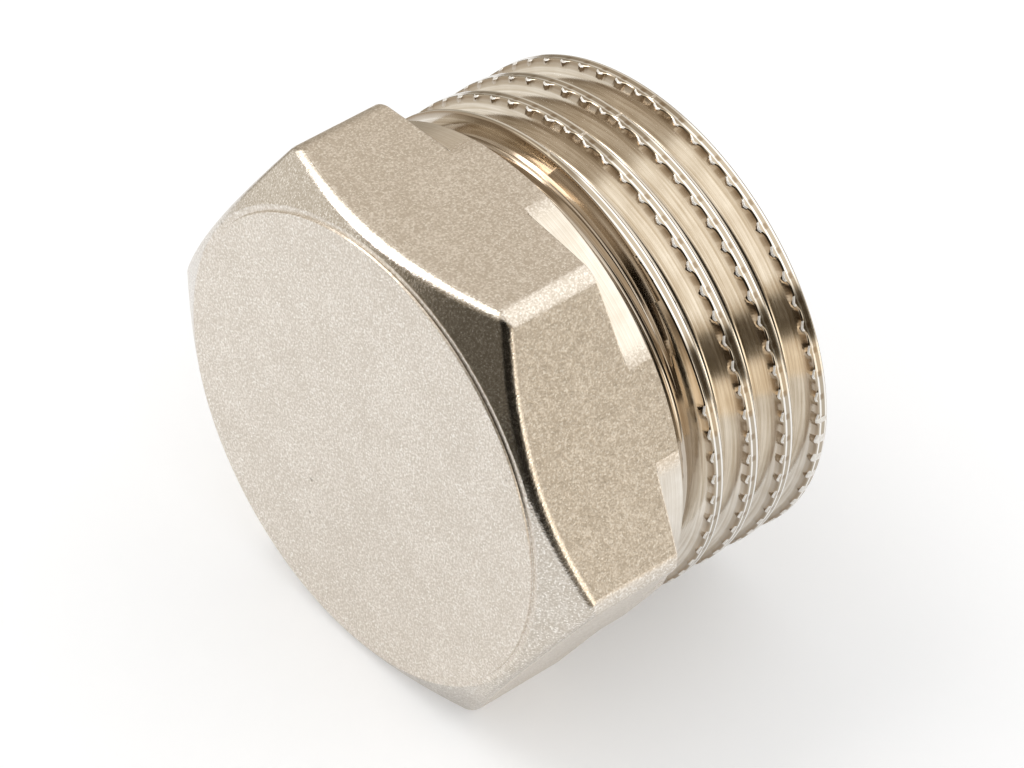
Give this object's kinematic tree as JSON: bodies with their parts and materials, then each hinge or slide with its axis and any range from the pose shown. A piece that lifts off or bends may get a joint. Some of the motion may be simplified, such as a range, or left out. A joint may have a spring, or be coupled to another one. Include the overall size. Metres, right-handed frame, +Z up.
{
  "type": "pipe plug",
  "caption": "Hexagon-headed male pipe plug in nickel-plated brass, with a turned collar and neck and a pipe-threaded hollow shank; closes the end of a pipe or fitting.",
  "frame": {"origin": "on the plug's axis, in the plane of the shoulder that stops against a pipe's end", "axes": "+X along the plug's axis, from the head towards the free end of the thread; +Z up, away from the hexagon flat that the plug lies on; +Y towards a corner of the hexagon"},
  "size_m": [0.0152, 0.024, 0.021],
  "materials": {
    "nickel_plate": "satin"
  },
  "bodies": {
    "root": {"plug_body": "nickel_plate"}
  },
  "joints": []
}
